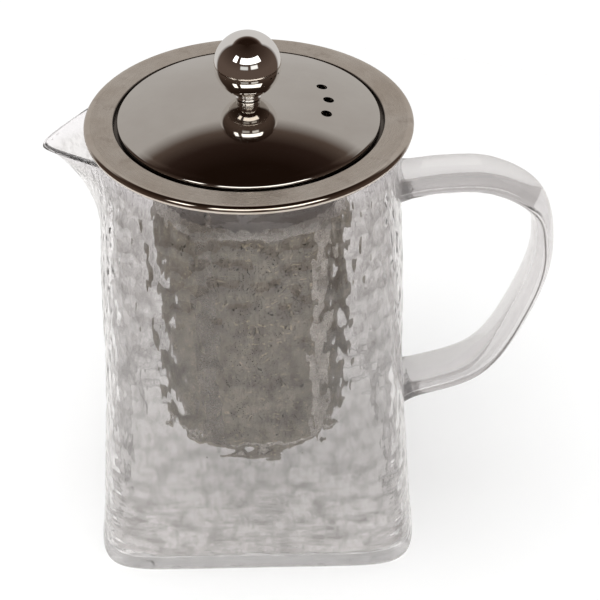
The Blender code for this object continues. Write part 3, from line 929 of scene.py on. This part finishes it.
def maths(tree, operation, first, second=0.0):
    return add(tree, "Math", {"operation": operation}, _0=first, _1=second).outputs[0]


def blend(tree, share, low, high):
    """A colour between two."""
    made = add(tree, "Mix", {"data_type": "RGBA"}, _0=share, _6=low, _7=high)
    return made.outputs[2]


def spread(tree, value, low, high, to_low=0.0, to_high=1.0):
    """A value carried from one range to another, and held at its ends."""
    made = add(tree, "MapRange", None, _0=value, _1=low, _2=high, _3=to_low, _4=to_high)
    return made.outputs[0]


def noise(tree, place, scale, detail=3.0, rough=0.55):
    """Noise about 0.5, whose scale is in grains per metre."""
    made = add(tree, "TexNoise", None, Vector=place, Scale=scale, Detail=detail, Roughness=rough)
    return made.outputs[0]


def surface(name, **constants):
    """A material, its node tree, its shader, and the place on the object in metres."""
    made = bpy.data.materials.new(name)
    made.use_nodes = True
    tree = made.node_tree
    shader = tree.nodes["Principled BSDF"]
    for key, value in constants.items():
        shader.inputs[key.replace("_", " ")].default_value = value
    place = add(tree, "TexCoord").outputs["Object"]
    return made, tree, shader, place


def bump(tree, shader, height, strength, distance):
    """Relief in the shading only, its depth in metres."""
    made = add(tree, "Bump", None, Strength=strength, Distance=distance, Height=height)
    tree.links.new(made.outputs[0], shader.inputs["Normal"])


def glass(name):
    return surface(name, Metallic=0.0, IOR=GLASS_IOR, Transmission_Weight=1.0)


def stretched(tree, place, scale):
    """The place, for a pattern that is long where its scale is small."""
    return add(tree, "Mapping", {"vector_type": "POINT"}, Vector=place, Scale=scale).outputs[0]


def polar(tree, place):
    """The place as (turn about Z, distance from Z, height)."""
    parts = add(tree, "SeparateXYZ", None, _0=place).outputs
    turn = maths(tree, "ARCTAN2", parts[1], parts[0])
    squares = [maths(tree, "POWER", part, 2.0) for part in (parts[0], parts[1])]
    radius = maths(tree, "SQRT", maths(tree, "ADD", *squares))
    return turn, radius, parts[2]


def edge_tints(tree, tint, x, y, height):
    """The jug's tint with tones of their own at the floor, the heel and the rim."""
    out = maths(tree, "MAXIMUM", maths(tree, "ABSOLUTE", x), maths(tree, "ABSOLUTE", y))
    low = spread(tree, height, *FLOOR_TINT_Z)
    floor = maths(tree, "MULTIPLY", low, spread(tree, out, HEEL_R[1], HEEL_R[0]))
    tint = blend(tree, floor, tint, FLOOR_TINT)
    heel = maths(tree, "MULTIPLY", low, spread(tree, out, *HEEL_R))
    tint = blend(tree, maths(tree, "MULTIPLY", heel, 0.8), tint, HEEL_TINT)
    return blend(tree, spread(tree, height, *RIM_TINT_Z), tint, RIM_TINT)


def jug_glass():
    """Clear glass, tinted grey where it is thick and darker still as painted shade on its ridges
    and ripples, with fine ripples and a few dull marks.
    """
    made, tree, shader, place = glass("hammered_glass")
    x, y, height = add(tree, "SeparateXYZ", None, _0=place).outputs
    upright = noise(tree, stretched(tree, place, (1.0, 1.0, 0.38)), 480.0, 1.0)
    lying = noise(tree, stretched(tree, place, (0.40, 0.40, 1.5)), 300.0, 1.0)
    near_base = spread(tree, height, *RIPPLE_Z)
    deep = maths(tree, "MULTIPLY", near_base, 4.0)
    ripples = maths(tree, "ADD", upright, maths(tree, "MULTIPLY", lying, deep))
    bump(tree, shader, ripples, 0.34, 0.0004)

    cloud = noise(tree, place, 28.0, 3.0)
    tint = blend(tree, spread(tree, cloud, 0.35, 0.68), *JUG_TINT)
    low_strokes = maths(tree, "MULTIPLY", spread(tree, lying, 0.47, 0.39), near_base)
    high_strokes = maths(tree, "MULTIPLY", spread(tree, upright, 0.47, 0.39), 0.55)
    strokes = maths(tree, "MAXIMUM", low_strokes, high_strokes)
    strokes = maths(tree, "MULTIPLY", strokes, STROKE_TINT_SHARE)
    # painted shade: ridges and ripple strokes take a darker tint than their thickness gives
    ridge = add(tree, "Attribute", {"attribute_name": "glass_ridge"}).outputs["Fac"]
    ridge = maths(tree, "MULTIPLY", ridge, RIDGE_TINT_SHARE)
    tint = blend(tree, maths(tree, "ADD", ridge, strokes), tint, THICK_GLASS_AND_SHADE_TINT)
    tint = edge_tints(tree, tint, x, y, height)
    tree.links.new(tint, shader.inputs["Base Color"])
    marks = noise(tree, place, 160.0, 4.0, 0.7)
    tree.links.new(spread(tree, marks, 0.55, 0.80, 0.0, 0.07), shader.inputs["Roughness"])
    return made


def rod_glass():
    """Clear drawn glass, with faint streaks along it."""
    made, tree, shader, place = glass("drawn_glass")
    cloud = noise(tree, place, 35.0, 2.0)
    tint = blend(tree, spread(tree, cloud, 0.35, 0.68), *ROD_TINT)
    tree.links.new(tint, shader.inputs["Base Color"])
    marks = noise(tree, place, 220.0, 4.0, 0.7)
    tree.links.new(spread(tree, marks, 0.56, 0.80, 0.0, 0.05), shader.inputs["Roughness"])
    streak = noise(tree, stretched(tree, place, (0.15, 1.0, 0.15)), 520.0, 2.0)
    bump(tree, shader, streak, 0.05, 0.0003)
    return made


def satin_steel():
    """Brushed pressed steel, warm with tarnish, polished at its rolled edge, with painted shade in
    the lid's gap.
    """
    made, tree, shader, place = surface("satin_steel", Metallic=1.0)
    turn, radius, height = polar(tree, place)
    cloud = noise(tree, place, 45.0, 4.0, 0.62)
    stain = noise(tree, place, 95.0, 5.0, 0.7)
    tint = blend(tree, spread(tree, cloud, 0.36, 0.66), *FLANGE_STEEL)
    tint = blend(tree, spread(tree, stain, 0.56, 0.76, 0.0, 0.55), tint, STAIN)
    # painted shade: the seat darkens in the gap round the lid
    gap_shade = spread(tree, radius, RECESS_R + RECESS_ROUND * 0.75, RECESS_R + RECESS_ROUND * 0.35)
    tint = blend(tree, maths(tree, "MULTIPLY", gap_shade, 0.85), tint, GAP_SHADE)
    tree.links.new(tint, shader.inputs["Base Color"])
    along = maths(tree, "MULTIPLY", turn, 0.006)
    ring = add(tree, "CombineXYZ", None, _0=along, _1=radius, _2=height)
    brushed = noise(tree, ring.outputs[0], 2600.0, 2.0, 0.5)
    edge = FLANGE_R - 2 * FLANGE_BEAD
    rolled = spread(tree, radius, edge + 0.0006, edge + 0.0014)
    rough = spread(tree, brushed, 0.3, 0.7, 0.24, 0.34)
    dull = maths(tree, "SUBTRACT", 1.0, maths(tree, "MULTIPLY", rolled, 0.88))
    tree.links.new(maths(tree, "MULTIPLY", rough, dull), shader.inputs["Roughness"])
    bump(tree, shader, brushed, 0.03, 0.00003)
    return made


def mirror_steel(name, tones, least=0.035, most=0.11, scratches=0.03):
    """Polished steel with faint smears and hairline scratches."""
    made, tree, shader, place = surface(name, Metallic=1.0)
    cloud = noise(tree, place, 60.0, 4.0, 0.6)
    tint = blend(tree, spread(tree, cloud, 0.34, 0.68), *tones)
    tree.links.new(tint, shader.inputs["Base Color"])
    smear = noise(tree, stretched(tree, place, (1.0, 2.2, 1.0)), 120.0, 5.0, 0.65)
    tree.links.new(spread(tree, smear, 0.40, 0.80, least, most), shader.inputs["Roughness"])
    lines = noise(tree, stretched(tree, place, (0.12, 1.0, 1.0)), 2600.0, 2.0)
    bump(tree, shader, lines, scratches, 0.00002)
    return made


def sheet_steel(name, tones, rough, glints=0.0, scorched=0.0):
    """Matt basket sheet: stains, painted shade near its top, painted glints on the panels, heat
    tint along the seam.
    """
    made, tree, shader, place = surface(name, Metallic=1.0)
    turn, _, height = polar(tree, place)
    cloud = noise(tree, place, 80.0, 5.0, 0.65)
    tint = blend(tree, spread(tree, cloud, 0.34, 0.68), *tones)
    shaded = spread(tree, height, PANEL_TOP_Z - 0.003, PANEL_TOP_Z + 0.004, 0.0, 0.7)
    tint = blend(tree, shaded, tint, TOP_SHADE)
    off_seam = maths(tree, "ABSOLUTE", maths(tree, "SUBTRACT", turn, FIRST_STRIP))
    heat = spread(tree, off_seam, *HEAT_REACH, 0.0, scorched)
    tint = blend(tree, heat, tint, HEAT_TINT)
    # painted highlights: sparse glints put into the base colour
    glint = noise(tree, stretched(tree, place, (1.0, 1.0, 1.6)), 620.0, 2.0)
    tint = blend(tree, spread(tree, glint, 0.61, 0.68, 0.0, glints), tint, GLINT)
    tree.links.new(tint, shader.inputs["Base Color"])
    grain = noise(tree, place, 700.0, 2.0)
    matt = spread(tree, grain, 0.3, 0.7, rough - 0.03, rough + 0.04)
    tree.links.new(matt, shader.inputs["Roughness"])
    bump(tree, shader, grain, 0.05, 0.00004)
    return made


# ---------------------------------------------------------------- studio


def studio_floor():
    """A round sheet of pale paper. Past its edge the room is as white as it is."""
    builder = bmesh.new()
    bmesh.ops.create_circle(builder, cap_ends=True, segments=FLOOR_SEGMENTS, radius=FLOOR_R)
    bmesh.ops.translate(builder, verts=builder.verts, vec=(0.0, 0.0, FLOOR_Z))
    mesh = bpy.data.meshes.new("studio_floor")
    builder.to_mesh(mesh)
    builder.free()
    made = bpy.data.objects.new("studio_floor", mesh)
    bpy.context.scene.collection.objects.link(made)
    paper, tree, shader, place = surface("pale_paper", Roughness=0.9, Specular_IOR_Level=0.1)
    tone = blend(tree, noise(tree, place, 9.0, 2.0), *PAPER)
    tree.links.new(tone, shader.inputs["Base Color"])
    mesh.materials.append(paper)


def studio_camera():
    """Looks along +Y and down, turned a little towards +X."""
    pan, pitch, roll = CAMERA_PAN, CAMERA_PITCH, CAMERA_ROLL
    flat = math.cos(pitch)
    forward = Vector((math.sin(pan) * flat, math.cos(pan) * flat, -math.sin(pitch)))
    right = forward.cross(Vector((0, 0, 1))).normalized()
    down = forward.cross(right)
    rolled_right = math.cos(roll) * right + math.sin(roll) * down
    rolled_down = math.cos(roll) * down - math.sin(roll) * right
    turn = Matrix((rolled_right, -rolled_down, -forward)).transposed()
    data = bpy.data.cameras.new("studio_camera")
    data.lens = CAMERA_LENS
    data.sensor_width = CAMERA_SENSOR
    data.clip_start, data.clip_end = 0.01, 50.0
    made = bpy.data.objects.new("studio_camera", data)
    made.matrix_world = Matrix.Translation(CAMERA_PLACE) @ turn.to_4x4()
    bpy.context.scene.collection.objects.link(made)
    bpy.context.scene.camera = made


def window(tree, level, turn, levels, turns, soft):
    """1 inside a soft-edged patch of the room, all its angles in degrees."""
    sides = [(level, edge, way) for edge, way in zip(levels, (1, -1))]
    sides += [(turn, edge, way) for edge, way in zip(turns, (1, -1))]
    share = 1.0
    for angle, edge, way in sides:
        inside = math.radians(edge + way * soft)
        outside = math.radians(edge - way * soft)
        share = maths(tree, "MULTIPLY", spread(tree, angle, outside, inside), share)
    return share


def gradient(tree, share, tones):
    """A colour that runs through the given tones, each with its position."""
    made = add(tree, "ValToRGB", None, _0=share)
    elements = made.color_ramp.elements
    elements[0].position, elements[0].color = tones[0]
    elements[1].position, elements[1].color = tones[-1]
    for position, colour in tones[1:-1]:
        elements.new(position).color = colour
    return made.outputs[0]


def mirrored_room(tree, level, x, y):
    """A dark room with a pale wall behind the pot and windows in front of it."""
    share = spread(tree, level, 0.0, math.pi / 2)
    behind = maths(tree, "ARCTAN2", x, y)
    front = maths(tree, "ARCTAN2", x, maths(tree, "MULTIPLY", y, -1.0))
    wall = window(tree, level, behind, *WALL_PATCH)
    seen = blend(tree, wall, gradient(tree, share, ROOM_TONES), gradient(tree, share, WALL_TONES))
    for levels, turns, power in WINDOWS:
        patch = window(tree, level, front, levels, turns, WINDOW_SOFT)
        seen = blend(tree, patch, seen, (power, power, power * 0.97, 1))
    return seen


def studio_room():
    """Even white all round. Metal that isn't behind glass mirrors a dark room instead."""
    world = bpy.data.worlds.new("studio_room")
    world.use_nodes = True
    bpy.context.scene.world = world
    tree = world.node_tree
    place = add(tree, "TexCoord").outputs["Generated"]
    x, y, z = add(tree, "SeparateXYZ", None, _0=place).outputs
    level = maths(tree, "ARCSINE", z)
    path = add(tree, "LightPath").outputs
    glossy = maths(tree, "GREATER_THAN", path["Glossy Depth"], 0.5)
    bare = maths(tree, "LESS_THAN", path["Transmission Depth"], 0.5)
    soft = (ROOM_LIGHT, ROOM_LIGHT, ROOM_LIGHT, 1)
    outside = blend(tree, path["Is Camera Ray"], soft, BACKDROP)
    through = blend(tree, spread(tree, level, *THROUGH_LEVELS), *THROUGH_GLASS)
    white = blend(tree, bare, through, outside)
    mirrored = maths(tree, "MULTIPLY", glossy, bare)
    colour = blend(tree, mirrored, white, mirrored_room(tree, level, x, y))
    tree.links.new(colour, tree.nodes["Background"].inputs["Color"])


def studio_lamp():
    """A wide soft lamp above, which mirrors don't show."""
    data = bpy.data.lights.new("overhead_lamp", "AREA")
    data.size = LAMP_SIZE
    data.energy = LAMP_POWER
    made = bpy.data.objects.new("overhead_lamp", data)
    made.location = LAMP_PLACE
    made.rotation_euler = LAMP_TILT
    made.visible_glossy = False
    bpy.context.scene.collection.objects.link(made)


def main():
    scene = bpy.context.scene
    scene.view_settings.view_transform = "Standard"
    scene.cycles.max_bounces = GLASS_BOUNCES
    scene.cycles.glossy_bounces = GLASS_BOUNCES
    scene.cycles.transmission_bounces = GLASS_BOUNCES
    mirror = mirror_steel("mirror_steel", MIRROR_STEEL)
    ball = mirror_steel("ball_steel", BALL_STEEL, 0.02, 0.06, 0.01)
    # painted dark reflection: this steel's base colour is darkened
    painted_dark_band = mirror_steel("band_steel_painted_dark", DARK_PAINTED_BAND_STEEL, 0.06, 0.14)
    strip = sheet_steel("strip_steel", STRIP_STEEL, 0.26, scorched=0.9)
    mesh = sheet_steel("mesh_steel", MESH_STEEL, 0.34, glints=0.55)

    glass_jug(jug_glass())
    glass_handle(rod_glass())
    infuser_rim(satin_steel())
    mesh_panels(mesh)
    plain_bands(strip)
    infuser_floor(mesh)
    infuser_collar(painted_dark_band)
    lid_dome(mirror)
    lid_skirt(painted_dark_band)
    knob_ball(ball)
    knob_neck(ball)
    for name in ("knob_washer", "knob_screw"):
        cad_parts[name].data.materials.clear()
        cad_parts[name].data.materials.append(painted_dark_band)

    studio_floor()
    studio_camera()
    studio_room()
    studio_lamp()


main()
